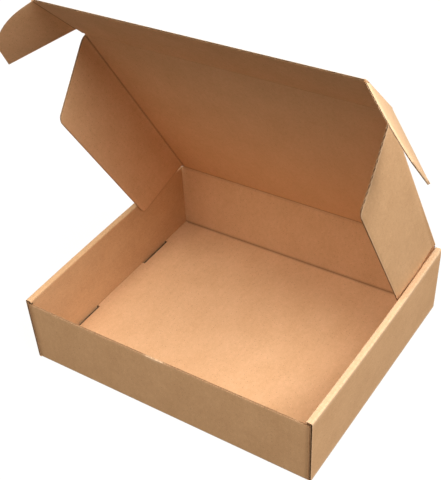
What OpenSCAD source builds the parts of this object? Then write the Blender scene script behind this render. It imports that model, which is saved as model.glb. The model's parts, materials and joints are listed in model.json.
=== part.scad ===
// Roll-end mailer box of corrugated board, standing open: a tray folded from the sheet, and a lid
// that hinges on the back wall and carries two dust flaps and a tuck flap with an ear at each end.
// X runs across the box, Y from front to back and Z up. The origin is the middle of the underside.

/* [Box] */
// Outside width of the tray, across its roll-over side walls
box_w = 350; // [260:5:460]
// Outside depth of the tray, from front to back
box_d = 292; // [230:2:400]
// Height of the side walls
wall_h = 86; // [70:1:130]
// Thickness of the board
board = 2.4; // [1.6:0.1:3.2]
// Outside radius of a fixed fold
fold_r = 1.4; // [0.6:0.1:1.6]
// Length of a wave of the fluted sheet
flute = 6.5; // [5:0.5:9]
// Thickness of the liners on each side of it
liner = 0.4; // [0.25:0.05:0.6]
// Depth to which the flutes are open at a cut edge
flute_open = 3; // [1:0.5:6]

/* [Tray] */
// From the side walls' tops down to the front wall's cut edge
front_drop = 5.5; // [4:0.5:12]
// Space between the layers of a roll-over wall
layer_gap = 0.15; // [0.1:0.05:0.4]
// Length of the corner flaps that the side walls hold
corner_flap = 88; // [50:1:110]
// From the base up to the corner flaps' lower edge
corner_lift = 0.8; // [0.4:0.1:3]
// Length of a locking slot in the base
slot_l = 50; // [30:1:70]
// From the middle of the box to the middle of a slot
slot_y = 71; // [45:1:75]
// Width of a slot that shows inside the wall
slot_show = 3.2; // [1:0.1:4]
// Room at each end of a locking tab
tab_room = 1.5; // [0.5:0.1:4]
// From the underside of the box up to a tab's end
tab_lift = 0.2; // [0.1:0.1:1]

/* [Lid] */
// Angle at which the lid stands open, from closed
lid_open = 59; // [30:1:110]
// Height of the lid's crease above the side walls
hinge_rise = 3; // [2:0.1:4]
// From the front wall back to the tuck flap's crease, with the lid closed
crease_back = 7; // [5:0.5:12]
// Slit beside a crease that moves
crease_gap = 0.4; // [0.3:0.05:0.6]
// Room between pieces that slide past one another
fit_gap = 0.3; // [0.2:0.05:0.6]

/* [Dust flaps] */
// From the base up to the flaps' free edges, with the lid closed
flap_floor = 3.5; // [2:0.5:20]
// From the lid's crease to a flap's root
flap_back = 4; // [2:0.5:20]
// From a flap's root to the tuck flap's crease
flap_front = 3; // [2:0.5:20]
// Lean of a flap's front edge
flap_lead = 20; // [5:1:30]
// Lean of a flap's back edge
flap_trail = 17.5; // [5:0.5:30]
// Radius of a flap's front corner
lead_r = 10; // [2:1:15]
// Radius of a flap's back corner
trail_r = 10; // [2:1:15]

/* [Tuck flap] */
// From the base up to the tuck flap's free edge, with the lid closed
tuck_floor = 3; // [2:0.5:20]
// Angle at which the tuck flap is folded, from flat
tuck_fold = 15; // [0:0.5:90]
// Angle at which the ears are folded, from flat
ear_fold = 43; // [0:1:90]
// From the tuck flap's crease to an ear's root
ear_start = 11; // [8:0.5:20]
// From an ear's root end to the tuck flap's free edge
ear_inset = 1.5; // [0:0.5:6]
// Length of an ear, away from its crease
ear_l = 77; // [45:1:100]
// From an ear's crease to the start of its curved edge
ear_flat = 12; // [5:1:20]
// Radius of an ear's curved edge
ear_r = 67; // [35:1:75]
// Lean of an ear's straight edge
ear_taper = 9; // [5:1:20]
// Lean of the straight cut at an ear's tip
ear_tip = 20; // [10:1:40]

/* [Hidden] */
$fn = 48;

kraft_outside = "#c39c74";
kraft_inside = "#b98a5e";
kraft_flap = "#a97c52";

// Cutting shapes reach this far past the faces that they open
past = 1;

half_w = box_w / 2;
half_d = box_d / 2;

// Roll-over side wall: outer panel, corner flap and inner panel side by side
wall_w = 3 * board + 2 * layer_gap;
inner_x = half_w - wall_w;
corner_x = half_w - board - layer_gap;
inner_d = half_d - board;
roof_z = wall_h - board;
front_h = wall_h - front_drop;

// Creases that move lie in the middle of the board
nose_r = board / 2;
edge_back = nose_r + crease_gap;
hinge_y = half_d - nose_r;
hinge_z = wall_h + hinge_rise;
back_h = hinge_z - edge_back;
lid_l = hinge_y + inner_d - crease_back;

// Side by side inside each side wall when closed: an ear, then a dust flap
ear_x = inner_x - fit_gap - nose_r;
flap_x = inner_x - 2 * (fit_gap + board);
tuck_half = ear_x - edge_back;

flap_depth = hinge_z - nose_r - board - flap_floor;
flap_end = lid_l - flap_front;

// The dust flaps spring out until their free edges stand beside the side walls
flap_lean = asin((board + fit_gap) / flap_depth);

tuck_l = hinge_z - board - tuck_floor;
ear_end = tuck_l - ear_inset;

function unit(v) = v / norm(v);

// What a round of radius r takes off the outward corner of an outline, between its two neighbours
module corner_off(before, corner, after, r) {
  to_before = unit(before - corner);
  to_after = unit(after - corner);
  half = acos(to_before * to_after) / 2;
  run = r / tan(half);
  middle = corner + unit(to_before + to_after) * r / sin(half);
  difference() {
    polygon([corner, corner + to_before * run, middle, corner + to_after * run]);
    translate(middle) circle(r);
  }
}

// A rectangle with the two corners at its edge round_y rounded as folds
module folded_square(x0, x1, y0, y1, round_y) {
  square_y0 = round_y == y0 ? y0 + fold_r : y0;
  square_y1 = round_y == y1 ? y1 - fold_r : y1;
  translate([x0, square_y0]) square([x1 - x0, square_y1 - square_y0]);
  translate([x0 + fold_r, y0]) square([x1 - x0 - 2 * fold_r, y1 - y0]);
  for (x = [x0 + fold_r, x1 - fold_r])
    translate([x, round_y == y0 ? square_y0 : square_y1]) circle(fold_r);
}

// Extrudes a front view over y0 to y1
module along_y(y0, y1) {
  translate([0, y1, 0]) rotate([90, 0, 0]) linear_extrude(y1 - y0) children();
}

// Extrudes a view whose first axis is Y over the whole width
module across_x() {
  translate([-half_w, 0, 0]) rotate([90, 0, 90]) linear_extrude(box_w) children();
}

// Hollows beside the fluted sheet, as a cut edge from u0 to u1 shows them between the liners
module flute_hollows(u0, u1) {
  waves = floor((u1 - u0) / flute);
  start = (u0 + u1 - waves * flute) / 2;
  half = nose_r - liner;
  wide = 0.377 * flute;
  narrow = 0.04 * flute;
  for (i = [0 : 2 * waves - 1]) {
    low = i % 2 == 0 ? narrow : wide;
    high = i % 2 == 0 ? wide : narrow;
    translate([start + (i / 2 + 0.25) * flute, 0])
      polygon([[-low, -half], [low, -half], [high, half], [-high, half]]);
  }
}

// The two ends of an outline, across Y, to the depth of the open flutes
module cut_ends() {
  difference() {
    for (end = [-1, 1]) translate([0, end * past]) children();
    intersection() {
      translate([0, flute_open]) children();
      translate([0, -flute_open]) children();
    }
  }
}

// Everything within the folded underside of the box
module underside_limit() {
  tall = hinge_z + past;
  intersection() {
    along_y(-half_d, half_d) folded_square(-half_w, half_w, 0, tall, 0);
    across_x() folded_square(-half_d, half_d, 0, tall, 0);
  }
}

// Right side wall from the front: up the outside, across the top and down the inside to the base
module roll_over_profile() {
  difference() {
    folded_square(inner_x, half_w, 0, wall_h, wall_h);
    translate([inner_x + board, board]) square([wall_w - 2 * board, roof_z - board]);
    translate([inner_x - past, board]) square([board + 2 * past, layer_gap]);
  }
}

// The roll-over wall, with its inner panel cut short of the front and back walls and its flutes open
module side_wall() {
  panel_end = inner_d - layer_gap;
  difference() {
    along_y(-half_d, half_d) roll_over_profile();
    for (end = [0, 1])
      mirror([0, end, 0]) {
        translate([inner_x - past, panel_end, board]) cube([board + 2 * past, half_d, roof_z - board]);
        along_y(half_d - flute_open, half_d + past)
          translate([half_w - nose_r, 0]) rotate(90) flute_hollows(2 * board, roof_z - board);
      }
  }
}

// Plan of a cross wall at the front, with its corner flaps folded back beside the side walls
module cross_wall_plan() {
  difference() {
    folded_square(-corner_x, corner_x, -half_d, -half_d + corner_flap, -half_d);
    translate([-corner_x + board, -inner_d]) square([2 * (corner_x - board), corner_flap]);
  }
}

// A cross wall of height h, with its corner flaps clear of the base and under the side walls' tops
module cross_wall(h) {
  difference() {
    linear_extrude(h) cross_wall_plan();
    for (side = [0, 1])
      mirror([side, 0, 0]) {
        translate([corner_x - board, -inner_d, board]) cube([board + past, corner_flap, corner_lift]);
        translate([inner_x - fit_gap, -half_d - past, roof_z - layer_gap])
          cube([wall_w + fit_gap, corner_flap + 2 * past, h]);
      }
  }
}

// Open flutes along the front wall's top
module front_flutes() {
  translate([0, nose_r - half_d, front_h - flute_open])
    linear_extrude(flute_open + past) flute_hollows(-inner_x, inner_x);
}

// Slots in the base under a side wall, and the tabs that lock into them
module at_slots() {
  for (end = [-1, 1]) translate([0, end * slot_y, 0]) children();
}

module slot() {
  translate([inner_x - slot_show, -slot_l / 2, -past])
    cube([slot_show + board + fit_gap, slot_l, board + past + layer_gap]);
}

module locking_tab() {
  tab_l = slot_l - 2 * tab_room;
  translate([inner_x, -tab_l / 2, tab_lift]) cube([board, tab_l, board + layer_gap]);
}

module tray() {
  color(kraft_outside) {
    difference() {
      intersection() {
        underside_limit();
        union() {
          translate([-half_w, -half_d, 0]) cube([box_w, box_d, board]);
          cross_wall(front_h);
          mirror([0, 1, 0]) cross_wall(back_h);
          side_wall();
          mirror([1, 0, 0]) side_wall();
        }
      }
      front_flutes();
      at_slots() slot();
      mirror([1, 0, 0]) at_slots() slot();
    }
    at_slots() locking_tab();
    mirror([1, 0, 0]) at_slots() locking_tab();
  }
}

// Frames of the pieces that move: the lid runs from its crease along -Y, with its inside facing -Z
module lid_frame() {
  translate([0, hinge_y, hinge_z]) rotate([-lid_open, 0, 0]) children();
}

module tuck_frame() {
  lid_frame() translate([0, -lid_l, 0]) rotate([tuck_fold, 0, 0]) children();
}

module ear_frame() {
  tuck_frame() translate([ear_x, 0, 0]) rotate([0, ear_fold, 0]) children();
}

// Rounded edge of a panel along its crease, on the axis that it turns about
module crease_nose(length) {
  rotate([0, 90, 0]) cylinder(r = nose_r, h = length, center = true);
}

// Board as thick as the sheet, with the outline in its middle plane
module panel() {
  translate([0, 0, -nose_r]) linear_extrude(board) children();
}

// The lid's panel, with the outer half of the fold over each dust flap
module lid_panel() {
  color(kraft_inside) lid_frame() {
    crease_nose(2 * flap_x);
    panel() translate([-flap_x, edge_back - lid_l]) square([2 * flap_x, lid_l - edge_back]);
    for (side = [0, 1])
      mirror([side, 0, 0])
        translate([flap_x, 0, -nose_r]) along_y(-flap_end, -flap_back)
          intersection() {
            circle(board);
            square(board);
          }
  }
}

// Outline of a dust flap: its depth along X and the distance from the lid's crease along -Y
module dust_flap_outline() {
  lead_run = flap_depth * tan(flap_lead);
  trail_run = flap_depth * tan(flap_trail);
  root_back = [crease_gap, -flap_back];
  root_front = [crease_gap, -flap_end];
  tip_front = [flap_depth, lead_run - flap_end];
  tip_back = [flap_depth, -trail_run - flap_back];
  difference() {
    polygon([root_back, root_front, tip_front, tip_back]);
    corner_off(root_front, tip_front, tip_back, lead_r);
    corner_off(tip_front, tip_back, root_back, trail_r);
  }
}

// Right dust flap, folded down from the lid, with its flutes open at both ends
module dust_flap() {
  lid_frame() translate([flap_x, 0, -nose_r]) rotate([0, 90 - flap_lean, 0])
    difference() {
      linear_extrude(board) dust_flap_outline();
      intersection() {
        linear_extrude(board) cut_ends() dust_flap_outline();
        along_y(-lid_l, 0) translate([0, nose_r]) flute_hollows(board, flap_depth - trail_r);
      }
    }
}

module left_dust_flap() {
  color(kraft_flap) mirror([1, 0, 0]) dust_flap();
}

module right_dust_flap() {
  color(kraft_flap) dust_flap();
}

module tuck_flap() {
  color(kraft_inside) tuck_frame() {
    crease_nose(2 * tuck_half);
    difference() {
      panel() translate([-tuck_half, -tuck_l]) square([2 * tuck_half, tuck_l]);
      along_y(-tuck_l - past, flute_open - tuck_l) flute_hollows(board - tuck_half, tuck_half - board);
    }
  }
}

// Outline of an ear: a straight edge beside the lid, and a round one that leads into the box
module ear_outline() {
  tip = [ear_l, -ear_start - ear_l * tan(ear_taper)];
  beside_tip = [ear_l - (ear_end + tip[1]) * tan(ear_tip), -ear_end];
  intersection() {
    union() {
      translate([0, -ear_end]) square([ear_flat, ear_end]);
      translate([ear_flat, ear_r - ear_end]) circle(ear_r, $fn = 96);
    }
    polygon([[0, -ear_start], tip, beside_tip, [0, -ear_end]]);
  }
}

// Right ear, with the round edge that turns in its crease and its flutes open at both ends
module ear() {
  ear_frame() {
    difference() {
      panel() ear_outline();
      intersection() {
        panel() cut_ends() ear_outline();
        along_y(-lid_l, 0) flute_hollows(board, ear_l - ear_start);
      }
    }
    translate([0, -(ear_start + ear_end) / 2, 0]) rotate([0, 0, 90]) crease_nose(ear_end - ear_start);
  }
}

module left_ear() {
  color(kraft_flap) mirror([1, 0, 0]) ear();
}

module right_ear() {
  color(kraft_flap) ear();
}

tray();
lid_panel();
left_dust_flap();
right_dust_flap();
tuck_flap();
left_ear();
right_ear();
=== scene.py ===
# %% [markdown]
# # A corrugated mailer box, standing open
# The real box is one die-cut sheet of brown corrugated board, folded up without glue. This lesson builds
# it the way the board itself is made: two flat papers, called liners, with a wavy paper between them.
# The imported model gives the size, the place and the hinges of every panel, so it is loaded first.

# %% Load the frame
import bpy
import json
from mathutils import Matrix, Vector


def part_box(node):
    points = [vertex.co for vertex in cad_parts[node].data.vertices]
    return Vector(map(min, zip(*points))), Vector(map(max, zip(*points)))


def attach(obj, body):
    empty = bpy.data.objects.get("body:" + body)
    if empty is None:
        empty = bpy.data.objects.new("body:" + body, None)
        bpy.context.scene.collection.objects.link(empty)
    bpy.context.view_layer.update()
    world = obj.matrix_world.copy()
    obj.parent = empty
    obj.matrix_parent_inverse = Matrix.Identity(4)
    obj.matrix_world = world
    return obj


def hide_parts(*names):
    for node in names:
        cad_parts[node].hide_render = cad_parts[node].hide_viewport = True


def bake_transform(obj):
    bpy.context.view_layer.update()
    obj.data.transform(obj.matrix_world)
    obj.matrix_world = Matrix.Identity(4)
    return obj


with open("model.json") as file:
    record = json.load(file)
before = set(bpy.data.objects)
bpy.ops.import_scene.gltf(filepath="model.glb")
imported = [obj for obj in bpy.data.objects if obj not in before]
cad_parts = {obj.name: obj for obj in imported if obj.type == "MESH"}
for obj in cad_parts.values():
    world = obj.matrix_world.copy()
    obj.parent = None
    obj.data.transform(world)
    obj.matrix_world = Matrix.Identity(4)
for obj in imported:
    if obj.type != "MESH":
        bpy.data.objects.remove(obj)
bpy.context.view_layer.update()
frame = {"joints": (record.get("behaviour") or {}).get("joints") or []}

# %% [markdown]
# ## Reading the creases
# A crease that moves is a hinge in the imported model, with a point and an axis. Taking them from the joints,
# rather than typing them again, keeps every flap on the line that it really turns about. The lid runs from
# its own crease to the tuck flap's crease, so two points give its direction and its length.

# %% Directions of the lid and its flaps
import math
from mathutils import Vector

crease_at = {j["name"]: Vector(j["pos_m"]) for j in frame["joints"]}
crease_axis = {j["name"]: Vector(j["axis"]) for j in frame["joints"]}
across = Vector((1, 0, 0))
hinge = crease_at["lid_crease"]
tuck_line = crease_at["tuck_crease"]
lid_length = (tuck_line - hinge).length
lid_along = (tuck_line - hinge).normalized()
lid_inward = across.cross(lid_along)
tuck_along = crease_axis["right_ear_crease"].normalized()
tuck_inward = across.cross(tuck_along)
EAR_FOLD = math.radians(43)
ear_along = across * math.cos(EAR_FOLD) + tuck_inward * math.sin(EAR_FOLD)
ear_inward = tuck_inward * math.cos(EAR_FOLD) - across * math.sin(EAR_FOLD)
lid_opened = math.degrees(math.asin(lid_along.z))
print(f"lid {lid_length * 1000:.1f} mm long, opened {lid_opened:.1f} degrees")

# %% [markdown]
# ## Sizes of the board and the panels
# All sizes are in metres, as Blender's are. The tray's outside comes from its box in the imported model. The
# board's build is that of a light B flute: thin liners and a wave about 6.5 mm long, which is the spacing
# of the bumps along the front wall's cut edge.

# %% Sizes
MM = 0.001
BOARD, LINER, WAVE_PAPER, FLUTE = 2.4 * MM, 0.32 * MM, 0.22 * MM, 6.5 * MM
LAYER_GAP = 0.15 * MM
FOLD_OUTSIDE = BOARD + 0.1 * MM
tray_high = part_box("tray")[1]
half_w, half_d = tray_high.x, tray_high.y
WALL_H, FRONT_H, BACK_H = 86 * MM, 80.5 * MM, 87.4 * MM
inner_mid = half_w - 2.5 * BOARD - 2 * LAYER_GAP
flap_mid = half_w - 1.5 * BOARD - LAYER_GAP
outer_mid = half_w - 0.5 * BOARD
roof_mid = WALL_H - 0.5 * BOARD
print(f"tray {2 * half_w * 1000:.0f} x {2 * half_d * 1000:.0f} mm, side wall of three layers")

# %% [markdown]
# ## A paper layer
# Each paper of the board is a thin closed ribbon. It is sampled at stations across the flutes, and at each
# station it reaches from one end of the board to the other. A ribbon like this can follow any outline and
# any fold, and because it is closed it has a real cut edge. A Solidify modifier could thicken a surface,
# but it would not give the wave between the liners, which is what the eye looks for on a cut edge.
# Each point also keeps its place in the flat sheet as a UV, so that the paper's grain runs on over the folds,
# and a value that says how its colour is painted: paler above zero, where a fold has worn it and in places as
# painted light, darker below zero, as painted shade.

# %% Collecting the papers of one board
import bpy
import numpy as np

OUTSIDE, INSIDE, RAW = 0, 1, 2


def new_board():
    return {"points": [], "faces": [], "finish": [], "blank": [], "rub": [], "count": 0}


def grid_faces(start, across_n, along_n, step):
    i, j = np.meshgrid(np.arange(across_n - 1), np.arange(along_n - 1), indexing="ij")
    a = start + i * along_n + j
    return np.stack([a, a + along_n, a + along_n + 1, a + 1], -1).reshape(-1, 4)[:, ::step]


def add_points(board, points, blank, rub):
    start = board["count"]
    board["points"].append(points.reshape(-1, 3))
    board["blank"].append(blank.reshape(-1, 2))
    board["rub"].append(rub.reshape(-1))
    board["count"] += len(board["points"][-1])
    return start


def add_faces(board, faces, finish):
    board["faces"].append(faces)
    board["finish"].append(np.full(len(faces), finish))


# %% [markdown]
# ## Marks of the die
# The cutting die crushes the last few millimetres of the board and frays them, so a ribbon can have extra
# rows near its two ends. A mark says, for each end, how far the board is crushed there and how much paler or
# darker it is painted (paler for wear and in places painted light, darker for painted shade), as a number or
# as a function of the station, and towards which depth of the board it is crushed.

# %% Rows of a ribbon, closer together near its ends
END_ROWS, END_SHARE = np.array([1.2, 3.5]) * MM, np.array([1.0, 0.5, 0.0])
END_LIMIT = 0.3
UNTOUCHED = {"crush": (0.0, 0.0), "wear": (0.0, 0.0), "toward": 0.0}


def row_places(v_from, v_to, rows, mark):
    inner = v_from + (v_to - v_from) * np.linspace(0, 1, rows + 1)[1:-1]
    if mark is UNTOUCHED:
        return np.concatenate([v_from, inner, v_to], 1), np.zeros((2, rows + 1))
    edge = np.minimum(END_ROWS, END_LIMIT * np.abs(v_to - v_from))
    share = np.zeros((2, rows + 5))
    share[0, :3], share[1, -3:] = END_SHARE, END_SHARE[::-1]
    return np.concatenate([v_from, v_from + edge, inner, v_to - edge[:, ::-1], v_to], 1), share


def over_rows(amounts, u, share):
    columns = [np.broadcast_to(a(u) if callable(a) else a, u.shape)[:, None] for a in amounts]
    return sum(column * row for column, row in zip(columns, share))


# %% One closed ribbon of paper
def add_paper(board, place, u, v_from, v_to, w_low, w_high, low, high,
              rows=1, rub=0.0, rub_inside=None, mark=UNTOUCHED):
    u = np.asarray(u, float)
    n = len(u)
    rub_inside = rub if rub_inside is None else rub_inside
    v_from, v_to, w_low, w_high, rub, rub_inside = (
        np.broadcast_to(np.asarray(a, float), (n,))[:, None]
        for a in (v_from, v_to, w_low, w_high, rub, rub_inside))
    vv, share = row_places(v_from, v_to, rows, mark)
    m = vv.shape[1]
    uu = np.repeat(u[:, None], m, 1)
    crush, wear = (over_rows(mark[kind], u, share) for kind in ("crush", "wear"))
    starts = []
    for w, worn, face in ((w_low, rub_inside, low), (w_high, rub, high)):
        points, blank = place(uu, vv, mark["toward"] - (mark["toward"] - w) * (1 - crush))
        end_wear = np.maximum(wear, 0) if face == OUTSIDE else wear
        starts.append(add_points(board, points, blank, worn + end_wear))
    add_faces(board, grid_faces(starts[0], n, m, -1), low)
    add_faces(board, grid_faces(starts[1], n, m, 1), high)
    rim = np.concatenate([np.arange(n) * m, (n - 1) * m + np.arange(1, m),
                          np.arange(n - 2, -1, -1) * m + m - 1, np.arange(m - 2, 0, -1)])
    ahead = np.roll(rim, -1)
    walls = np.stack([starts[0] + rim, starts[0] + ahead, starts[1] + ahead, starts[1] + rim], -1)
    add_faces(board, walls, RAW)


# %% [markdown]
# ## From ribbons to corrugated board
# Three ribbons make the board: the outside liner, the wave and the inside liner. The wave is a sine whose
# crests touch the liners. A core set back from every cut edge closes the hollows, so that no light comes
# through the board: close to the edge they look shallow, further back they look dark. Where a stretch of
# board shows no cut edge, such as the middle of the base, one solid ribbon of the full thickness is enough.

# %% Corrugated and plain stretches
CREST = BOARD / 2 - LINER - WAVE_PAPER / 2
CORE_SIDE, SET_BACK = 0.35 * MM, 0.9 * MM
LINER_STEP, WAVE_STEP = 2 * MM, FLUTE / 12


def stations(u_from, u_to, spacing, extra=()):
    even = np.linspace(u_from, u_to, max(2, int(abs(u_to - u_from) / spacing) + 1))
    return np.union1d(even, [x for x in extra if u_from < x < u_to])


def add_corrugated(board, place, u_from, u_to, ends, rows=1, extra=(), rub=None, set_back=SET_BACK,
                   wave_back=0.0, mark=UNTOUCHED, core_rub=0.0):
    u = stations(u_from, u_to, LINER_STEP, extra)
    outside, inside = rub(u) if rub else (0.0, 0.0)
    add_paper(board, place, u, *ends(u), BOARD / 2 - LINER, BOARD / 2, RAW, OUTSIDE,
              rows, outside, outside, mark)
    inside_mark = {**mark, "wear": mark["wear_inside"]} if "wear_inside" in mark else mark
    add_paper(board, place, u, *ends(u), -BOARD / 2, LINER - BOARD / 2, INSIDE, RAW,
              rows, inside, inside, inside_mark)
    u = stations(u_from, u_to, WAVE_STEP, extra)
    wave = CREST * np.sin(2 * np.pi * u / FLUTE)
    low, high = ends(u)
    add_paper(board, place, u, low + wave_back, high - wave_back,
              wave - WAVE_PAPER / 2, wave + WAVE_PAPER / 2, RAW, RAW, rows, mark=mark)
    core_step = WAVE_STEP if callable(core_rub) else LINER_STEP
    u = stations(u_from + CORE_SIDE, u_to - CORE_SIDE, core_step, extra)
    low, high = ends(u)
    middle = (low + high) / 2
    low, high = np.minimum(low + set_back, middle), np.maximum(high - set_back, middle)
    add_paper(board, place, u, low, high, LINER - BOARD / 2, BOARD / 2 - LINER, RAW, RAW,
              rows, core_rub(u) if callable(core_rub) else core_rub)


def add_plain(board, place, u, v_from, v_to, rows=1, rub=0.0, rub_inside=0.0, mark=UNTOUCHED):
    add_paper(board, place, u, v_from, v_to, -BOARD / 2, BOARD / 2, INSIDE, OUTSIDE,
              rows, rub, rub_inside, mark)


# %% [markdown]
# ## Following a fold
# The side walls and the cross walls are bent sheets, so they need a line to follow. The line runs along the
# middle of the board with a small arc at each fold. All the folds turn the same way, so the outside of the
# board is always on the right of the line, and a point is found from how far along it lies and how far out.
# A creased corner is squarer than an arc, so a power pulls the arc out: at 2 it is round, above 2 squarer.

# %% A line with arcs at its folds
FOLD_MID = FOLD_OUTSIDE - BOARD / 2


def unit(way):
    return way / np.linalg.norm(way)


def folded_line(corners):
    corners = [np.array(c, float) for c in corners]
    spans, at, run = [], corners[0], 0.0
    for before, corner, after in zip(corners, corners[1:], corners[2:]):
        heading = unit(corner - before)
        leaving = unit(after - corner)
        arc_from = corner - heading * FOLD_MID
        spans.append(("flat", run, np.linalg.norm(arc_from - at), at, heading))
        run += spans[-1][2]
        spans.append(("fold", run, FOLD_MID * math.pi / 2, arc_from + leaving * FOLD_MID, heading))
        run += spans[-1][2]
        at = corner + leaving * FOLD_MID
    heading = unit(corners[-1] - at)
    spans.append(("flat", run, np.linalg.norm(corners[-1] - at), at, heading))
    total = run + spans[-1][2]
    return [(kind, start - total / 2, length, at, heading) for kind, start, length, at, heading in spans]


# %% Points beside the folded line
def beside_line(line, u, w, square):
    point = np.zeros(u.shape + (2,))
    for index, (kind, start, length, at, heading) in enumerate(line):
        last = index == len(line) - 1
        low = -np.inf if index == 0 else start
        here = (u >= low) & (u < (np.inf if last else start + length))
        right = np.array([heading[1], -heading[0]])
        if kind == "flat":
            point[here] = at + (u[here] - start)[:, None] * heading + w[here][:, None] * right
        else:
            turn = ((u[here] - start) / FOLD_MID)[:, None]
            outward = right * np.cos(turn) + heading * np.sin(turn)
            reach = (np.abs(np.cos(turn)) ** square + np.abs(np.sin(turn)) ** square) ** (-1 / square)
            point[here] = at + (FOLD_MID + w[here])[:, None] * outward * reach
    return point


# %% Stations, wear and painted shade at the folds
FOLD_STEPS, FOLD_REACH, FOLD_SHADE = 6, 3 * MM, 0.6


def fold_stations(line):
    return [start + length * k / FOLD_STEPS for kind, start, length, *_ in line if kind == "fold"
            for k in range(FOLD_STEPS + 1)]


# Paler on a fold's outside, from wear, and darker on its inside: painted shade in the crease.
def worn_and_shaded_near_folds(line):
    middles = np.array([start + length / 2 for kind, start, length, *_ in line if kind == "fold"])

    def wear(u):
        near = np.exp(-(np.abs(u[:, None] - middles).min(1) / FOLD_REACH) ** 2)
        return near, -FOLD_SHADE * near ** 4
    return wear


# %% [markdown]
# ## The tray's base and roll-over side walls
# Each side of the sheet goes up as the outer panel, over as a narrow top strip and down again as the inner
# panel, which traps the corner flaps. Seen from the front, base and side walls are one folded line, so they
# are built by running along that line, with the flutes from front to back. A full side wall pushes outwards
# a little between its corners, so the points are moved out by up to a millimetre and a half at mid length.
# The right wall's folds are painted paler than the left wall's: wear, and painted light on the side where
# more light falls.

# %% Line of the base and side walls
BOW, SIDE_SQUARE = 1.5 * MM, 3
side_line = folded_line([(-inner_mid, BOARD + LAYER_GAP), (-inner_mid, roof_mid), (-outer_mid, roof_mid),
                         (-outer_mid, BOARD / 2), (outer_mid, BOARD / 2), (outer_mid, roof_mid),
                         (inner_mid, roof_mid), (inner_mid, BOARD + LAYER_GAP)])


def bowed(points):
    out = BOW * points[..., 2] / WALL_H * (1 - (points[..., 1] / half_d) ** 2)
    points[..., 0] += np.sign(points[..., 0]) * out
    return points


def on_side_line(u, v, w):
    flat = beside_line(side_line, u, w, SIDE_SQUARE)
    return bowed(np.stack([flat[..., 0], v, flat[..., 1]], -1)), np.stack([u, v], -1)


flats = [(start, start + length) for kind, start, length, *_ in side_line if kind == "flat"]
print("side line", [f"{(b - a) * 1000:.1f}" for a, b in flats], "mm between folds")

# %% Side walls
# The right wall's folds get the full paling and the left's a tenth: wear, and painted light on the right,
# where more light falls.
LEFT_WEAR_AND_LIGHT, RIGHT_WEAR_AND_LIGHT = 0.1, 1.0
WALL_ROWS, WALL_SET_BACK, WALL_WAVE_BACK = 14, 10 * MM, 1 * MM
tray = new_board()
panel_end = half_d - BOARD - LAYER_GAP
base_end = half_d - FOLD_OUTSIDE
side_wear_and_shade = worn_and_shaded_near_folds(side_line)
folds = fold_stations(side_line)
wall_cut = {"crush": (0.15, 0.15), "wear": (0.5, 0.5), "toward": BOARD / 2}
for inner, walls, share in ((flats[0], (flats[0][1], flats[3][0]), LEFT_WEAR_AND_LIGHT),
                            (flats[6], (flats[3][1], flats[6][0]), RIGHT_WEAR_AND_LIGHT)):
    def rubbed(u):
        outside, inside = side_wear_and_shade(u)
        return share * outside, inside

    add_corrugated(tray, on_side_line, *inner, lambda u: (-panel_end, panel_end), WALL_ROWS, folds, rubbed)
    add_corrugated(tray, on_side_line, *walls, lambda u: (-half_d, half_d), WALL_ROWS, folds, rubbed,
                   WALL_SET_BACK, WALL_WAVE_BACK, wall_cut)
print(tray["count"], "points in the side walls")

# %% [markdown]
# ## Slots and locking tabs
# The inner panels end in tabs that snap into slots in the base, and that is what keeps the side walls up
# without glue. A slot is a gap left between stretches of the base, and it is wider than the tab, so a dark
# slit shows beside the wall. A Boolean would cut it as well, but leaving the gap keeps clean faces.

# %% Base with its slots, and the tabs
SLOT, SLOT_AT, SLOT_SHOW, SLOT_ROOM = 50 * MM, 71 * MM, 3.2 * MM, 0.3 * MM
TAB_ROOM, TAB_LIFT = 1.5 * MM, 0.2 * MM
BASE_STEP, BASE_ROWS = 20 * MM, 12
slot_from = half_w - 3 * BOARD - 2 * LAYER_GAP - SLOT_SHOW
slot_to = slot_from + SLOT_SHOW + BOARD + SLOT_ROOM
base_to = flats[3][1]
for side in (-1, 1):
    for stretch in ((-base_end, -SLOT_AT - SLOT / 2), (SLOT / 2 - SLOT_AT, SLOT_AT - SLOT / 2),
                    (SLOT_AT + SLOT / 2, base_end)):
        add_plain(tray, on_side_line, np.sort([side * slot_from, side * slot_to]), *stretch)
    add_plain(tray, on_side_line, np.sort([side * slot_to, side * base_to]), -base_end, base_end)
    tab_u = flats[0][0] if side < 0 else flats[6][1]
    for at in (-SLOT_AT, SLOT_AT):
        tab = (at - SLOT / 2 + TAB_ROOM, at + SLOT / 2 - TAB_ROOM)
        add_plain(tray, on_side_line, np.sort([tab_u, tab_u + side * (BOARD + LAYER_GAP - TAB_LIFT)]), *tab)
# The base's inside is painted darker along its front and back ends, where it meets the walls: painted shade
# in the corners.
shaded_base_ends = {"crush": (0.0, 0.0), "wear": (-0.8, -0.8), "toward": 0.0}
add_plain(tray, on_side_line, stations(-slot_from, slot_from, BASE_STEP), -base_end, base_end,
          BASE_ROWS, mark=shaded_base_ends)
print(f"four slots {SLOT * 1000:.0f} mm long, {(slot_to - slot_from) * 1000:.1f} mm wide")

# %% [markdown]
# ## Front and back walls with their corner flaps
# These walls stand up from the base with their flutes upright, so the front wall's top is a cut edge that
# shows the wave from above. At each end a corner flap turns in and disappears inside the side wall, a few
# millimetres lower than the wall. From above, wall and flaps are again one folded line, so the same builder
# makes them, run upwards this time. Their folds are sharp, and painted browner than the wall: painted shade
# where each fold turns away from the light. The front edge is where fingers pull the box open, so it sags a
# little and a stretch is rubbed.

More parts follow.
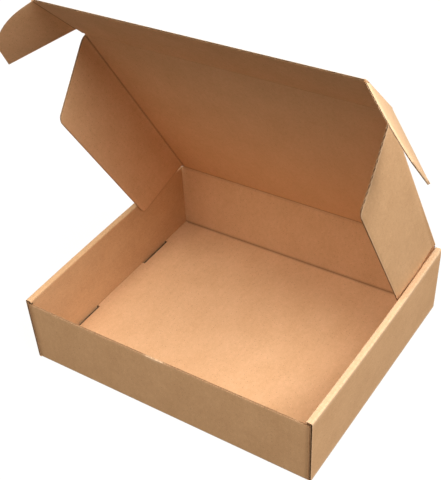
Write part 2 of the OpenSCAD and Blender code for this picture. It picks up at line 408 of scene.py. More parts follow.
# %% Line and wear of a cross wall
CORNER_FLAP, FLAP_LIFT, SHOULDER_GAP = 88 * MM, 0.8 * MM, 0.3 * MM
CROSS_SQUARE, CROSS_SET_BACK, FOLD_PAINTED_SHADE = 5, 0.6 * MM, 0.5
HANDLED_AT, HANDLED_WIDE, HANDLED_LEAST, HANDLED_MOST = -5 * MM, 9 * MM, 0.2, 1.9
shoulder = half_w - 3 * BOARD - 2 * LAYER_GAP - SHOULDER_GAP
flap_roof = WALL_H - BOARD - LAYER_GAP


def cross_line(front):
    y, back = front * (half_d - BOARD / 2), front * (half_d - CORNER_FLAP)
    x = front * flap_mid
    return folded_line([(x, back), (x, y), (-x, y), (-x, back)])


def on_cross_line(line, front):
    def place(u, v, w):
        flat = beside_line(line, u, w, CROSS_SQUARE)
        blank = np.stack([-front * u, front * (half_d + v)], -1)
        return bowed(np.stack([flat[..., 0], flat[..., 1], v], -1)), blank
    return place


def handled(u):
    return HANDLED_LEAST + HANDLED_MOST * np.exp(-((u - HANDLED_AT) / HANDLED_WIDE) ** 2)


# The outside of each fold is painted browner and its inside darker: painted shade.
def painted_fold_shade(line):
    wear = worn_and_shaded_near_folds(line)

    def rub(u):
        near, inside = wear(u)
        return -FOLD_PAINTED_SHADE * near, inside
    return rub


# %% Cross walls
DIP, DIP_FROM, DIP_OVER = 5 * MM, 2 * MM, 6 * MM
SAG, SAG_LEFT, HAIR = 1 * MM, 0.35, 1e-6
# Below zero, wear darkens the inside at each wall's foot, where it meets the base, and along the back wall's
# top, under the lid's crease: painted shade.
front_mark = {"crush": (0.0, 0.12), "wear": (-0.8, handled), "toward": 0.0}
back_mark = {"crush": (0.0, 0.0), "wear": (-0.8, -0.3), "toward": 0.0}
shoulders = [side * shoulder + hair for side in (-1, 1) for hair in (-HAIR, HAIR)]
for front, height, mark in ((-1, FRONT_H, front_mark), (1, BACK_H, back_mark)):
    line = cross_line(front)
    wall = (line[2][1], line[2][1] + line[2][2])

    def upright(u):
        hidden = (u < wall[0]) | (u > wall[1])
        reach = np.where(np.abs(u) > shoulder, min(height, flap_roof), height)
        dip = np.clip((np.maximum(wall[0] - u, u - wall[1]) - DIP_FROM) / DIP_OVER, 0, 1)
        t = np.clip(u / wall[1], -1, 1)
        sag = SAG * (front < 0) * (1 - t ** 4) * (1 - SAG_LEFT * t)
        return np.where(hidden, BOARD + FLAP_LIFT, FOLD_OUTSIDE), reach - DIP * dip - sag

    add_corrugated(tray, on_cross_line(line, front), line[0][1], line[4][1] + line[4][2], upright, 1,
                   fold_stations(line) + shoulders, painted_fold_shade(line), CROSS_SET_BACK, mark=mark,
                   core_rub=handled if front < 0 else 0.0)
print(tray["count"], "points with the cross walls")

# %% [markdown]
# ## Folds between the base and the cross walls
# Here the flutes run over the fold and are crushed by it, so no wave shows. A solid quarter ring is right:
# rounded outside and sharp inside, as a scored board folds.

# %% Bottom folds
def bottom_fold(front):
    def place(u, v, w):
        turn = (v - half_d) / FOLD_MID
        radius = FOLD_MID + w
        y = front * (base_end + radius * np.sin(turn))
        z = FOLD_OUTSIDE - radius * np.cos(turn)
        return np.stack([u, y, z], -1), np.stack([u, front * (v - FOLD_OUTSIDE)], -1)
    return place


fold_u = np.array([-base_to, base_to])
for front in (-1, 1):
    # Inside the fold the board is painted darker: painted shade in the corner.
    add_plain(tray, bottom_fold(front), fold_u, half_d, half_d + FOLD_MID * math.pi / 2, FOLD_STEPS,
              rub=0.7, rub_inside=-0.8)
print(tray["count"], "points in the whole tray")

# %% [markdown]
# ## From points to Blender objects
# The ribbons become one mesh. Its normals are made to point outwards, edges sharper than 35 degrees stay
# sharp, and the UV map called blank and the attribute called rub go with it for the materials. Materials
# are named now and get their nodes further down.

# %% Make an object of a board
import bmesh

SHARP = math.radians(35)
kraft_outside = bpy.data.materials.new("kraft_outside")
kraft_inside = bpy.data.materials.new("kraft_inside")
raw_edge = bpy.data.materials.new("raw_edge")


def new_object(name, data):
    made = bpy.data.objects.new(name, data)
    bpy.context.scene.collection.objects.link(made)
    return made


def make_board(name, board):
    mesh = bpy.data.meshes.new(name)
    points, faces = np.concatenate(board["points"]), np.concatenate(board["faces"])
    mesh.from_pydata(points.tolist(), [], faces.tolist())
    for finish in (kraft_outside, kraft_inside, raw_edge):
        mesh.materials.append(finish)
    mesh.polygons.foreach_set("material_index", np.concatenate(board["finish"]).astype(np.int32))
    blank = np.concatenate(board["blank"])
    corner = np.zeros(len(mesh.loops), np.int32)
    mesh.loops.foreach_get("vertex_index", corner)
    mesh.uv_layers.new(name="blank").data.foreach_set("uv", blank[corner].astype(np.float32).ravel())
    rub = mesh.attributes.new("rub", "FLOAT", "POINT")
    rub.data.foreach_set("value", np.concatenate(board["rub"]).astype(np.float32))
    shape = bmesh.new()
    shape.from_mesh(mesh)
    bmesh.ops.recalc_face_normals(shape, faces=shape.faces)
    shape.to_mesh(mesh)
    shape.free()
    mesh.shade_smooth()
    mesh.set_sharp_from_angle(angle=SHARP)
    piece = new_object(name, mesh)
    print(name, len(mesh.polygons), "faces")
    return piece


# %% The tray's object
tray_board = make_board("tray_board", tray)
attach(tray_board, "tray")
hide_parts("tray")

# %% [markdown]
# ## Flat panels of the lid
# The lid, its dust flaps, the tuck flap and the ears are flat board. A flat panel needs only a corner, a
# direction across the flutes, one along them and the outside. Every panel's flutes run the same way in the
# flat sheet, so the dust flaps show the wave on their slanted ends and not on their long free edges.
# On this box the lid's right crease was folded a few millimetres askew, so the lid is a little wider there at
# the back and narrower at the front. Its inside is painted paler towards the right, as painted light, and
# darker along its creases to the dust flaps and at the hinge, as painted shade.

# %% Placing points on a flat panel
def on_panel(corner, u_way, v_way, outside, blank_u, blank_v, side=1):
    corner, u_way, v_way, outside = (np.array(a, float) for a in (corner, u_way, v_way, outside))

    def place(u, v, w):
        points = corner + u[..., None] * u_way + v[..., None] * v_way + w[..., None] * outside
        return points, np.stack([blank_u + side * u, blank_v + v], -1)
    return place


lid_blank = half_d + hinge.z
tuck_blank = lid_blank + lid_length
print(f"in the flat sheet the lid starts {lid_blank * 1000:.0f} mm behind the middle of the base")

# %% Lid panel
EDGE_BACK = 1.6 * MM
SKEW_BACK, SKEW_FRONT = 4 * MM, -2.5 * MM
SCORE_WIDE, SCORE_SHADE = 0.9 * MM, 0.8
LID_PAINTED_LIGHT, LID_PAINTED_LIGHT_OVER = 0.9, 160 * MM
flap_x = abs(crease_at["right_dust_flap_crease"].x)
flat_lid = on_panel(hinge, across, lid_along, -lid_inward, 0, lid_blank)
beside_fold = np.array([0.3, 0.7, 1.2, 1.8]) * MM


def skew(v):
    return SKEW_BACK + (SKEW_FRONT - SKEW_BACK) * v / lid_length


def on_lid(u, v, w):
    points, blank = flat_lid(u, v, w)
    points[..., 0] += skew(v) * np.clip(u / flap_x, 0, 1) ** 2
    return points, blank


# Inside the lid: painted shade along the creases to the dust flaps, and painted light growing towards the
# right.
def lid_painted_shade_and_light(u):
    fold = np.exp(-((flap_x - np.abs(u)) / SCORE_WIDE) ** 2)
    painted_light = LID_PAINTED_LIGHT * np.clip((u + flap_x) / LID_PAINTED_LIGHT_OVER, 0, 1)
    return 0.0, painted_light * (1 - fold) - SCORE_SHADE * fold


lid = new_board()
# The inside is painted darker at the hinge end, as painted shade, and paler at the tuck end.
lid_mark = {"crush": (0.0, 0.0), "wear": (-0.5, 0.25), "toward": 0.0}
add_corrugated(lid, on_lid, -flap_x, flap_x, lambda u: (EDGE_BACK, lid_length - EDGE_BACK), 1,
               [*(flap_x - beside_fold), *(beside_fold - flap_x)], lid_painted_shade_and_light, mark=lid_mark)

# %% Tuck flap, and the objects of both
TUCK_LENGTH, TUCK_SET_BACK = 83.6 * MM, 5 * MM
ear_x = abs(crease_at["right_ear_crease"].x)
tuck_half = ear_x - EDGE_BACK
on_tuck = on_panel(tuck_line, across, tuck_along, -tuck_inward, 0, tuck_blank)
tuck = new_board()
tuck_mark = {"crush": (0.0, 0.6), "wear": (0.25, 0.5), "wear_inside": (0.25, 0.0), "toward": 0.0}
add_corrugated(tuck, on_tuck, -tuck_half, tuck_half, lambda u: (EDGE_BACK, TUCK_LENGTH),
               set_back=TUCK_SET_BACK, mark=tuck_mark)
for name, board, body, node in (("lid_board", lid, "lid", "lid_panel"),
                                ("tuck_board", tuck, "tuck_flap", "tuck_flap")):
    piece = make_board(name, board)
    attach(piece, body)
    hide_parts(node)

# %% [markdown]
# ## Dust flaps
# A dust flap tapers from its crease to its free edge, so that it slides into the tray beside the side wall,
# and its two outer corners are rounded. Its ends are straight lines that turn into an arc near the corner,
# so each station asks where the line or the arc is. The crease wants to spring open, so the flap leans out
# until its free edge rests by the side wall, and it bulges out a little below the crease, as stiff board
# does where a score has been folded. The die has crushed its free edge to half the board's thickness.

# %% Ends of a dust flap
FLAP_DEPTH, FLAP_BACK, FLAP_FRONT = 81.9 * MM, 4 * MM, 3 * MM
FLAP_LEAD, FLAP_TRAIL, FLAP_ROUND = math.radians(20), math.radians(17.5), 10 * MM
CREASE_GAP, FIT_GAP = 0.4 * MM, 0.3 * MM
FLAP_LEAN = math.asin((BOARD + FIT_GAP) / FLAP_DEPTH)


def slanted_end(lean):
    centre = FLAP_DEPTH - FLAP_ROUND
    centre_run = centre * math.tan(lean) + FLAP_ROUND / math.cos(lean)
    meets = centre + FLAP_ROUND * math.sin(lean)

    def run(u):
        arc = centre_run - np.sqrt(np.maximum(FLAP_ROUND ** 2 - (u - centre) ** 2, 0))
        return np.where(u < meets, u * math.tan(lean), arc)
    return run


lead, trail = slanted_end(FLAP_LEAD), slanted_end(FLAP_TRAIL)


def dust_flap_ends(u):
    return FLAP_BACK + trail(u), lid_length - FLAP_FRONT - lead(u)


def flap_ways(side):
    along = lid_inward * math.cos(FLAP_LEAN) + across * side * math.sin(FLAP_LEAN)
    out = across * side * math.cos(FLAP_LEAN) - lid_inward * math.sin(FLAP_LEAN)
    return along, out


print(f"dust flaps lean out by {math.degrees(FLAP_LEAN):.1f} degrees")

# %% Bulge of a dust flap
# The right flap also follows its askew crease: quickly where that pushes it out towards the side wall, and
# slowly where it pulls it in.
BULGE, BULGE_FROM = 2.5 * MM, 2.5 * MM
OUT_OVER, IN_OVER, FREE_CRUSH = 11 * MM, 60 * MM, 0.5


def bulging(place, outside, askew):
    def bulged(u, v, w):
        points, blank = place(u, v, w)
        out = BULGE * (1 - np.exp(-u / BULGE_FROM)) * (1 - u / FLAP_DEPTH)
        slide = askew * skew(v)
        out = np.where(slide > 0, np.maximum(out, slide * np.clip(1 - u / OUT_OVER, 0, 1)),
                       out + slide * np.clip(1 - u / IN_OVER, 0, 1))
        crushed = FREE_CRUSH * w * np.clip((u - FLAP_DEPTH) / END_ROWS[1] + 1, 0, 1)
        return points + (out - crushed)[..., None] * np.array(outside), blank
    return bulged


# %% [markdown]
# The slanted ends cut across the flutes, so their hollows show as dark dashes between pale crests. The core
# behind them is painted darker and paler in step with the wave, painted shade in the hollows and painted
# light on the crests, which keeps the dashes clear in a small picture.

# %% Both dust flaps
HANDS = (("left", -1), ("right", 1))
FLAP_ROWS, FLAP_SET_BACK = 10, 1.2 * MM
FREE_RUB, FREE_EDGE_SHADE, DASH, DASH_SHADE = 0.6, 0.3, 0.9, 0.3
corner_steps = FLAP_DEPTH - FLAP_ROUND * (1 - np.sin(np.linspace(0, math.pi / 2, 14)))
flap_steps = [*corner_steps, *(CREASE_GAP + beside_fold)]
# Below zero, wear_inside darkens the inside of the trailing end: painted shade from the narrow gap by the
# side wall.
flap_cut = {"crush": (0.3, 0.3), "wear": (0.9, 0.9), "wear_inside": (-0.5, 0.0), "toward": 0.0}


# Painted shade along the root by the crease and along the inside of the free edge, where the flap stands
# close to the side wall; the outside of the free edge is rubbed paler.
def flap_edge_wear_and_shade(u):
    free_edge = np.exp(-((FLAP_DEPTH - u) / SCORE_WIDE) ** 2)
    root = np.exp(-(u / SCORE_WIDE) ** 2)
    return FREE_RUB * free_edge, -SCORE_SHADE * root - FREE_EDGE_SHADE * free_edge


# Painted shade in the hollows of the flutes and painted light between them.
def dashes(u):
    return DASH * np.sin(2 * np.pi * u / FLUTE) - DASH_SHADE


for hand, side in HANDS:
    flap = new_board()
    flap_along, flap_out = flap_ways(side)
    root = hinge + across * side * flap_x + lid_inward * BOARD / 2 + flap_out * BOARD / 2
    flat = on_panel(root, flap_along, lid_along, flap_out, side * flap_x, lid_blank, side)
    add_corrugated(flap, bulging(flat, flap_out, side > 0), CREASE_GAP, FLAP_DEPTH, dust_flap_ends,
                   FLAP_ROWS, flap_steps, flap_edge_wear_and_shade, FLAP_SET_BACK, mark=flap_cut, core_rub=dashes)
    piece = make_board(f"{hand}_dust_flap_board", flap)
    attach(piece, f"{hand}_dust_flap")
    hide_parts(f"{hand}_dust_flap")

# %% [markdown]
# ## Ears of the tuck flap
# Each ear is a leaf: one edge is nearly straight, the other is the large curve that leads it down between the
# dust flap and the side wall, and a short straight cut ends it. At each station the curved end is the nearer
# of the circle and the cut. Their outside is painted paler, from the wear of hands that hold the box by its
# ears and as painted light, and the edges are pressed flat against the inside liner, thinner and thinner
# towards the tip. Their cut edges and the core behind them are painted paler as well: painted light on edges
# that face away from the lamps.

# %% Outline of an ear
EAR_START, EAR_END, EAR_LENGTH = 11 * MM, 82.1 * MM, 77 * MM
EAR_FLAT, EAR_ROUND, EAR_LEAST = 12 * MM, 67 * MM, 0.05 * MM
EAR_LEAN, EAR_TIP = math.tan(math.radians(9)), math.tan(math.radians(20))


def ear_ends(u):
    past = np.maximum(u - EAR_FLAT, 0)
    curved = EAR_END - EAR_ROUND + np.sqrt(np.maximum(EAR_ROUND ** 2 - past ** 2, 0))
    straight = EAR_START + u * EAR_LEAN
    tip_cut = EAR_START + EAR_LENGTH * EAR_LEAN + (EAR_LENGTH - u) / EAR_TIP
    return straight, np.maximum(np.minimum(curved, tip_cut), straight + EAR_LEAST)


u_fine = np.linspace(0, EAR_LENGTH, 4000)
slope = np.gradient(ear_ends(u_fine)[1], u_fine)
cut_from = u_fine[np.argmax(slope < -0.99 / EAR_TIP)]
print(f"ears reach {EAR_LENGTH * 1000:.1f} mm, with a straight cut from {cut_from * 1000:.1f} mm on")

# %% Both ears
EAR_SET_BACK, EAR_WEAR_AND_LIGHT, EAR_CORE_LIGHT = 3 * MM, 0.7, 0.9
ROOT_CRUSH, TIP_CRUSH, NEAR_TIP = 0.5, 0.42, 12 * MM
tip_steps = np.append(np.linspace(cut_from - NEAR_TIP, EAR_LENGTH, 40), cut_from)


def thin_tip(u):
    return ROOT_CRUSH + TIP_CRUSH * np.clip(u / EAR_LENGTH, 0, 1)


def mirrored(way, side):
    return Vector((way.x * side, way.y, way.z))


# wear_inside and the core's rub paint the cut edges paler: painted light on edges that face away from the
# lamps.
ear_cut = {"crush": (thin_tip, 0.6), "wear": (0.7, 0.7), "wear_inside": (0.5, 0.5), "toward": -BOARD / 2}
for hand, side in HANDS:
    ear = new_board()
    place = on_panel(tuck_line + across * side * ear_x, mirrored(ear_along, side), tuck_along,
                     -mirrored(ear_inward, side), side * ear_x, tuck_blank, side)
    add_corrugated(ear, place, EDGE_BACK, EAR_LENGTH, ear_ends, 1, tip_steps, lambda u: (EAR_WEAR_AND_LIGHT, 0.0),
                   EAR_SET_BACK, mark=ear_cut, core_rub=EAR_CORE_LIGHT)
    piece = make_board(f"{hand}_ear_board", ear)
    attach(piece, f"{hand}_ear")
    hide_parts(f"{hand}_ear")

# %% [markdown]
# ## Creases that bend
# On the real box the liner runs on through every crease, so no light shows between lid and wall. Each crease
# here is a thin bent strip between two panels. The strip is a little hollow on the inside, because a scoring
# wheel has pressed the board there.
# The lid's strip reaches a few millimetres past the lid on both sides, where the die has cut it, and its ends
# are paler. The right dust flap's strip follows the askew crease.

# %% A bent line between two panels
STRIP_STEPS, SCORE_DEPTH, NEAR_ENOUGH = 9, 0.3 * MM, 6 * MM


def bend(from_point, corner, to_point):
    t = np.linspace(0, 1, STRIP_STEPS)[:, None]
    return (1 - t) ** 2 * from_point + 2 * t * (1 - t) * corner + t ** 2 * to_point


def meeting(a, a_way, b, b_way):
    s = np.linalg.lstsq(np.stack([a_way, -b_way], 1), b - a, rcond=None)[0]
    found = a + a_way * s[0]
    return found if np.linalg.norm(found - a) < NEAR_ENOUGH else (a + b) / 2


# %% A strip of board along the bent line
def crease_strip(name, start, way, length, near, far, out, back=(EDGE_BACK, EDGE_BACK), lift=0.0,
                 score=SCORE_DEPTH, inside=-0.9, mark=UNTOUCHED, shift=np.zeros_like):
    start, way = np.array(start), np.array(way)
    near, far = (tuple(np.array(a) for a in pair) for pair in (near, far))
    sides = []
    for offset in (lift + BOARD / 2, lift - BOARD / 2):
        a, b = near[0] * back[0] + near[1] * offset, far[0] * back[1] + far[1] * offset
        middle = meeting(a, -near[0], b, -far[0])
        if offset < lift:
            middle = middle + unit(near[1] + far[1]) * score
        sides.append(bend(a, middle, b))
    outer, inner = sides
    press = np.sin(np.linspace(0, math.pi, STRIP_STEPS))
    run = np.linspace(-back[0], back[1], STRIP_STEPS)

    def place(u, v, w):
        index = np.rint(u).astype(int)
        mix = w[..., None] / BOARD + 0.5
        flat = inner[index] * (1 - mix) + outer[index] * mix
        askew = shift(v)[..., None] * np.array(across)
        return start + flat + v[..., None] * way + askew, np.stack(out(run[index], v), -1)

    strip = new_board()
    # Below zero, inside paints the strip darker along the middle of the bend: painted shade in the crease.
    add_plain(strip, place, np.arange(STRIP_STEPS), 0.0, length, 1, press, inside * press ** 3, mark)
    piece = make_board(name, strip)
    middle = start + way * length / 2
    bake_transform(piece)


# %% Creases of the lid and the tuck flap
WEB_PAST = 4 * MM
web_x = flap_x + WEB_PAST
pale_ends = {"crush": (0.0, 0.0), "wear": (1.3, 1.3), "toward": 0.0}
down, backward = Vector((0, 0, -1)), Vector((0, 1, 0))
crease_strip("lid_crease_strip", hinge - across * web_x, across, 2 * web_x,
             (down, backward), (lid_along, -lid_inward),
             lambda r, v: (v - web_x, lid_blank + r), mark=pale_ends)
crease_strip("tuck_crease_strip", tuck_line - across * flap_x, across, 2 * flap_x,
             (-lid_along, -lid_inward), (tuck_along, -tuck_inward),
             lambda r, v: (v - flap_x, tuck_blank + r), inside=0.5)

# %% Creases of the dust flaps and the ears
for hand, side in HANDS:
    flap_from = hinge + across * side * flap_x + lid_inward * BOARD / 2 + lid_along * FLAP_BACK
    crease_strip(f"{hand}_dust_flap_crease_strip", flap_from, lid_along,
                 lid_length - FLAP_BACK - FLAP_FRONT, (-across * side, -lid_inward), flap_ways(side),
                 lambda r, v, side=side: (side * (flap_x + r), lid_blank + FLAP_BACK + v),
                 (0.0, CREASE_GAP), BOARD / 2, 0.0,
                 shift=lambda v, side=side: (side > 0) * skew(v + FLAP_BACK))
    ear_from = tuck_line + across * side * ear_x + tuck_along * EAR_START
    crease_strip(f"{hand}_ear_crease_strip", ear_from, tuck_along,
                 EAR_END - EAR_START, (-across * side, -tuck_inward),
                 (mirrored(ear_along, side), -mirrored(ear_inward, side)),
                 lambda r, v, side=side: (side * (ear_x + r), tuck_blank + EAR_START + v))

# %% [markdown]
# ## Kraft paper
# Kraft liner is never one flat brown. Wood fibres lie mostly along the paper, the pulp clumps into soft
# clouds, and specks of bark and pale fibre are scattered over it. All three papers of the board share this,
# so it is a node group that reads the place in the flat sheet and puts out values that each material uses
# in its own colours.

# %% Node helpers
def group_of(name, inputs, outputs):
    tree = bpy.data.node_groups.new(name, "ShaderNodeTree")
    for way, labels in (("INPUT", inputs), ("OUTPUT", outputs)):
        for label in labels:
            kind = "NodeSocketVector" if label == "Blank" else "NodeSocketFloat"
            tree.interface.new_socket(label, in_out=way, socket_type=kind)
    return tree, tree.nodes.new("NodeGroupInput"), tree.nodes.new("NodeGroupOutput")


def node(tree, kind, links=(), **values):
    made = tree.nodes.new(kind)
    for key, value in values.items():
        setattr(made, key, value)
    for socket, source in dict(links).items():
        if hasattr(source, "is_output"):
            tree.links.new(source, made.inputs[socket])
        else:
            made.inputs[socket].default_value = source
    return made


def maths(tree, how, *terms, **values):
    return node(tree, "ShaderNodeMath", dict(enumerate(terms)), operation=how, **values).outputs[0]


def sum_of(tree, layers):
    total = 0.0
    for layer, share in layers:
        total = maths(tree, "ADD", total, maths(tree, "MULTIPLY", layer, share))
    return total


# %% Kraft paper group
kraft_paper, given, puts = group_of("kraft_paper", ["Blank"], ["Tone", "Specks", "Pale fibres", "Height"])


def on_sheet(turn, scale):
    return node(kraft_paper, "ShaderNodeMapping",
                {"Vector": given.outputs["Blank"], "Rotation": (0, 0, math.radians(turn)),
                 "Scale": scale}).outputs[0]


def streaks(per_metre, turn):
    return node(kraft_paper, "ShaderNodeTexNoise",
                {"Vector": on_sheet(turn, (*per_metre, 1)), "Scale": 1.0, "Detail": 2.0,
                 "Roughness": 0.6}).outputs[0]


clouds, formation = streaks((30, 20), 8), streaks((240, 150), -5)
grain, fibres = streaks((900, 560), 20), streaks((2400, 900), -12)
tone = sum_of(kraft_paper, ((clouds, 0.26), (formation, 0.22), (grain, 0.30), (fibres, 0.22)))
kraft_paper.links.new(tone, puts.inputs["Tone"])
kraft_paper.links.new(maths(kraft_paper, "ADD", grain, fibres), puts.inputs["Height"])


# %% Specks and pale fibres of the group
def scattered(cells, size, share, stretch, turn):
    cell = node(kraft_paper, "ShaderNodeTexVoronoi",
                {"Vector": on_sheet(turn, (stretch, 1, 1)), "Scale": cells}, voronoi_dimensions="2D")
    edge = node(kraft_paper, "ShaderNodeMapRange",
                {"Value": cell.outputs["Distance"], "From Min": size, "From Max": size * 0.4})
    picked = node(kraft_paper, "ShaderNodeSeparateColor", {"Color": cell.outputs["Color"]})
    chosen = maths(kraft_paper, "LESS_THAN", picked.outputs[0], share)
    return maths(kraft_paper, "MULTIPLY", edge.outputs[0], chosen)


kraft_paper.links.new(scattered(cells=230.0, size=0.11, share=0.30, stretch=1.0, turn=0),
                      puts.inputs["Specks"])
kraft_paper.links.new(scattered(cells=150.0, size=0.16, share=0.35, stretch=5.0, turn=24),
                      puts.inputs["Pale fibres"])
print("kraft paper group:", len(kraft_paper.nodes), "nodes")

# %% [markdown]
# ## Flutes that show through
# Thin liner sinks a little between the crests of the wave, so faint stripes run along the flutes and are
# seen where light grazes the board. The stripe is a sine of the place across the flutes, at the wave's own
# spacing, and clouds of noise keep it from looking ruled.

# %% Flute show-through group
flute_show, shown, shows = group_of("flute_show_through", ["Blank", "Spacing"], ["Stripe"])
split = node(flute_show, "ShaderNodeSeparateXYZ", {0: shown.outputs["Blank"]})
turns = maths(flute_show, "DIVIDE", split.outputs[0], shown.outputs["Spacing"])
ripple = maths(flute_show, "SINE", maths(flute_show, "MULTIPLY", turns, 2 * math.pi))
patches = node(flute_show, "ShaderNodeTexNoise",
               {"Vector": shown.outputs["Blank"], "Scale": 30.0, "Detail": 2.0})
faded = maths(flute_show, "MULTIPLY", ripple, patches.outputs[0])
flute_show.links.new(maths(flute_show, "MULTIPLY_ADD", faded, 0.5, 0.5), shows.inputs["Stripe"])
print("flute group:", len(flute_show.nodes), "nodes")

# %% [markdown]
# ## Rubbed folds, painted light and painted shade
# A fold stretches the outside liner until its fibres show pale, and handling rubs it further, unevenly. The
# inside of a fold is painted dark along a thin line, as painted shade in the crease. The mesh carries both as
# one value, above zero for rubbed and below zero for painted shade, and noise breaks up the rubbed part. In
# places the value above zero is painted light too, and below zero it also paints shade in corners and gaps.

# %% Group of fold wear, painted light and painted shade
fold_wear, worn_in, worn_out = group_of("fold_wear", ["Blank", "Rub"], ["Worn", "Pressed"])
scuffs = node(fold_wear, "ShaderNodeTexNoise",
              {"Vector": worn_in.outputs["Blank"], "Scale": 260.0, "Detail": 3.0, "Roughness": 0.6})
uneven = node(fold_wear, "ShaderNodeMapRange",
              {"Value": scuffs.outputs[0], "From Min": 0.3, "From Max": 0.7, "To Min": 0.55})
held = node(fold_wear, "ShaderNodeClamp", {"Value": worn_in.outputs["Rub"]})
worn = maths(fold_wear, "MULTIPLY", held.outputs[0], uneven.outputs[0])
# Below zero the value is painted shade: in creases, in corners and in gaps.
painted_shade = maths(fold_wear, "MULTIPLY", worn_in.outputs["Rub"], -1.0, use_clamp=True)
fold_wear.links.new(worn, worn_out.inputs["Worn"])
fold_wear.links.new(painted_shade, worn_out.inputs["Pressed"])
print("fold wear group:", len(fold_wear.nodes), "nodes")

# %% [markdown]
# ## The three finishes
# Outside liner, inside liner and raw edge are the same paper with other colours: the inside is a little
# warmer, and a raw edge is duller, because the cut opens the fibres. The Principled shader stays in each
# material, with the groups feeding its colour, its roughness and its bump.

# %% Colours
def srgb(*levels):
    parts = (level / 255 for level in levels)
    return (*(c / 12.92 if c <= 0.04045 else ((c + 0.055) / 1.055) ** 2.4 for c in parts), 1.0)


def mixed(tree, factor, first, second):
    return node(tree, "ShaderNodeMix", {0: factor, 6: first, 7: second}, data_type="RGBA").outputs[2]


# %% Build a kraft finish
# The last share is how far a value below zero mixes towards the speck colour, as painted shade.
SPECK_SHARE, FIBRE_SHARE, SHADE_SHARE = 0.55, 0.35, 0.75
GRAIN_BUMP, STRIPE_BUMP, BUMP_DEPTH, SHINE = 0.35, 0.8, 0.12 * MM, 0.22


def kraft_finish(material, dark, light, speck, pale, stripe_share, wear, bump):
    material.use_nodes = True
    tree = material.node_tree
    shader = tree.nodes["Principled BSDF"]
    blank = node(tree, "ShaderNodeUVMap", uv_map="blank").outputs[0]
    paper, stripe, rubbed = (node(tree, "ShaderNodeGroup", {"Blank": blank}, node_tree=group)
                             for group in (kraft_paper, flute_show, fold_wear))
    stripe.inputs["Spacing"].default_value = FLUTE
    rub = node(tree, "ShaderNodeAttribute", attribute_name="rub")
    tree.links.new(rub.outputs["Fac"], rubbed.inputs["Rub"])
    tone = node(tree, "ShaderNodeMapRange",
                {"Value": paper.outputs["Tone"], "From Min": 0.38, "From Max": 0.62})
    brown = mixed(tree, tone.outputs[0], dark, light)
    for amount, share, colour in ((stripe.outputs["Stripe"], stripe_share, dark),
                                  (paper.outputs["Specks"], SPECK_SHARE, speck),
                                  (paper.outputs["Pale fibres"], FIBRE_SHARE, pale),
                                  (rubbed.outputs["Worn"], wear, pale),
                                  (rubbed.outputs["Pressed"], SHADE_SHARE, speck)):
        brown = mixed(tree, maths(tree, "MULTIPLY", amount, share), brown, colour)
    tree.links.new(brown, shader.inputs["Base Color"])
    rough = node(tree, "ShaderNodeMapRange", {"Value": paper.outputs["Tone"], "To Min": 0.72, "To Max": 0.92})
    tree.links.new(rough.outputs[0], shader.inputs["Roughness"])
    height = sum_of(tree, ((paper.outputs["Height"], GRAIN_BUMP), (stripe.outputs["Stripe"], STRIPE_BUMP)))
    bumped = node(tree, "ShaderNodeBump", {"Height": height, "Strength": bump, "Distance": BUMP_DEPTH})
    tree.links.new(bumped.outputs[0], shader.inputs["Normal"])
    shader.inputs["Specular IOR Level"].default_value = SHINE
    print(material.name, len(tree.nodes), "nodes")


# %% The finishes
kraft_finish(kraft_outside, dark=srgb(195, 152, 109), light=srgb(215, 172, 128), speck=srgb(128, 86, 50),
             pale=srgb(242, 212, 176), stripe_share=0.18, wear=0.5, bump=0.45)
kraft_finish(kraft_inside, dark=srgb(204, 160, 116), light=srgb(223, 179, 137), speck=srgb(112, 70, 36),
             pale=srgb(238, 204, 164), stripe_share=0.12, wear=0.35, bump=0.42)
kraft_finish(raw_edge, dark=srgb(136, 98, 64), light=srgb(168, 127, 88), speck=srgb(96, 64, 38),
             pale=srgb(236, 204, 166), stripe_share=0.0, wear=0.9, bump=0.8)

# %% [markdown]
# ## Floor, light and camera
# The box stands on a plain dark floor, which throws little light back. To the camera the floor and the
# world glow up to white, so the white doesn't come from more light on the box. Under the box the floor
# doesn't glow, because a slot that you look down through is dark.

# %% Floor
FLOOR_IN, FLOOR_WIDE = 3 * MM, 6.0


def when_seen(tree, unseen, seen):
    rays = node(tree, "ShaderNodeLightPath")
    direct = maths(tree, "MAXIMUM", rays.outputs["Is Camera Ray"], rays.outputs["Is Glossy Ray"])
    direct = maths(tree, "MAXIMUM", direct, rays.outputs["Is Transmission Ray"])
    return node(tree, "ShaderNodeMixShader", {0: direct, 1: unseen.outputs[0], 2: seen.outputs[0]}).outputs[0]


def floor_paint(name, glow, colour):
    paint = bpy.data.materials.new(name)
    paint.use_nodes = True
    tree = paint.node_tree
    shader = tree.nodes["Principled BSDF"]
    shader.inputs["Base Color"].default_value = colour
    shader.inputs["Roughness"].default_value = 0.9
    dark = node(tree, "ShaderNodeEmission", {"Color": (0, 0, 0, 1), "Strength": 0.0})
    light = node(tree, "ShaderNodeEmission", {"Color": (1, 1, 1, 1), "Strength": glow})
    both = node(tree, "ShaderNodeAddShader", {0: shader.outputs[0], 1: when_seen(tree, dark, light)})
    tree.links.new(both.outputs[0], tree.nodes["Material Output"].inputs["Surface"])
    return paint


rings = [(x * a, y * b, 0) for a, b in ((half_w - FLOOR_IN, half_d - FLOOR_IN), (FLOOR_WIDE, FLOOR_WIDE))
         for x, y in ((-1, -1), (1, -1), (1, 1), (-1, 1))]
around = [(k, k + 4, (k + 1) % 4 + 4, (k + 1) % 4) for k in range(4)]
floor_mesh = bpy.data.meshes.new("floor")
floor_mesh.from_pydata(rings, [], [(0, 1, 2, 3)] + around)
floor_mesh.materials.append(floor_paint("floor_paint", glow=0.93, colour=(0.075, 0.06, 0.045, 1)))
# Under the box the floor is dark brown: painted shade, the card's shade seen down through a slot.
floor_mesh.materials.append(floor_paint("floor_under_box", glow=0.0, colour=(0.05, 0.03, 0.015, 1)))
floor_mesh.polygons[0].material_index = 1
floor = new_object("floor", floor_mesh)

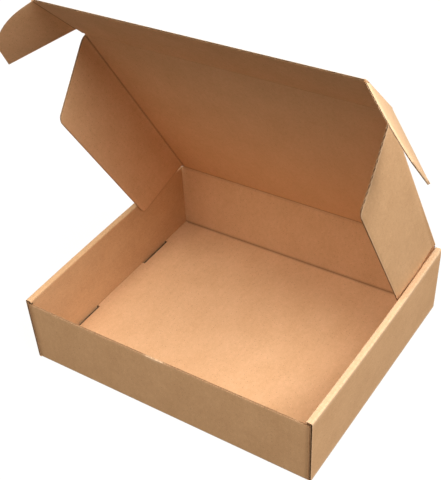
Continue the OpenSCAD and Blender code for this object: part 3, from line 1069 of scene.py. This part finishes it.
# %% [markdown]
# The world is a soft sky, brighter overhead and dimmer and warmer towards the horizon, so the lid's inside
# gets most of its light from the card below it. A large lamp above, to the box's right, makes the tops the
# brightest, then the right side. A smaller, warmer lamp above the front lifts the base and the front wall.

# %% World
HORIZON, OVERHEAD = (0.10, 0.072, 0.045, 1), (0.70, 0.70, 0.70, 1)
world = bpy.data.worlds.new("studio")
bpy.context.scene.world = world
world.use_nodes = True
tree = world.node_tree
sky = tree.nodes["Background"]
towards = node(tree, "ShaderNodeSeparateXYZ", {0: node(tree, "ShaderNodeTexCoord").outputs["Generated"]})
tree.links.new(mixed(tree, towards.outputs[2], HORIZON, OVERHEAD), sky.inputs["Color"])
sky.inputs["Strength"].default_value = 1.0
white = node(tree, "ShaderNodeBackground", {"Color": (1, 1, 1, 1), "Strength": 1.0})
tree.links.new(when_seen(tree, sky, white), tree.nodes["World Output"].inputs["Surface"])

# %% Lamps
LAMP_AIM = Vector((0, 0, 0.1))


def soft_lamp(name, way, distance, size, watts, colour=(1, 1, 1)):
    data = bpy.data.lights.new(name, "AREA")
    data.shape, data.size, data.energy, data.color = "DISK", size, watts, colour
    lamp = new_object(name, data)
    way = Vector(way).normalized()
    lamp.location = way * distance + LAMP_AIM
    lamp.rotation_mode = "QUATERNION"
    lamp.rotation_quaternion = way.to_track_quat("Z", "Y")
    print(f"{name}: {watts} W, {math.degrees(math.asin(way.z)):.0f} degrees up")


soft_lamp("key_lamp", (0.63, -0.09, 0.77), distance=2.2, size=1.7, watts=54)
soft_lamp("front_lamp", (-0.14, -0.50, 0.86), distance=2.2, size=1.0, watts=27, colour=(1.0, 0.95, 0.88))

# %% [markdown]
# The camera stands where the photograph was taken from: in front, to the box's right and well above it. Its
# angles, distance and focal length were worked out from the tray's corners and the box's outline, and the
# picture is 441 by 480. The point that it aims at isn't in the picture's middle, so the lens is shifted.

# %% Camera
from mathutils import Matrix

PICTURE_W, PICTURE_H, SENSOR = 441, 480, 36
AZIMUTH, ELEVATION, ROLL = math.radians(38.811), math.radians(43.552), math.radians(-6.278)
FOCAL_PIXELS, DISTANCE = 941.41, 0.99789
AIM, AIM_PIXEL = Vector((-0.01791, -0.08989, 0.05927)), (176.00, 336.11)
flat_way = math.cos(ELEVATION)
to_camera = Vector((math.sin(AZIMUTH) * flat_way, -math.cos(AZIMUTH) * flat_way, math.sin(ELEVATION)))
level = Vector((math.cos(AZIMUTH), math.sin(AZIMUTH), 0))
upright_way = to_camera.cross(level)
right_way = level * math.cos(ROLL) + upright_way * math.sin(ROLL)
up_way = upright_way * math.cos(ROLL) - level * math.sin(ROLL)
lens = bpy.data.cameras.new("camera")
lens.sensor_width = SENSOR
lens.lens = FOCAL_PIXELS / PICTURE_H * SENSOR
lens.shift_x = (PICTURE_W / 2 - AIM_PIXEL[0]) / PICTURE_H
lens.shift_y = (AIM_PIXEL[1] - PICTURE_H / 2) / PICTURE_H
lens.clip_start, lens.clip_end = 0.01, 50
camera = new_object("camera", lens)
turned = Matrix((right_way, up_way, to_camera)).transposed().to_4x4()
camera.matrix_world = Matrix.Translation(AIM + to_camera * DISTANCE) @ turned
bpy.context.scene.camera = camera
bpy.context.scene.view_settings.view_transform = "Standard"
print(f"camera at {[round(c, 3) for c in camera.matrix_world.translation]}, lens {lens.lens:.1f} mm")

# %% [markdown]
# ## Size kept
# The dressed box has to be the size of the imported one.

# %% Finish
import json
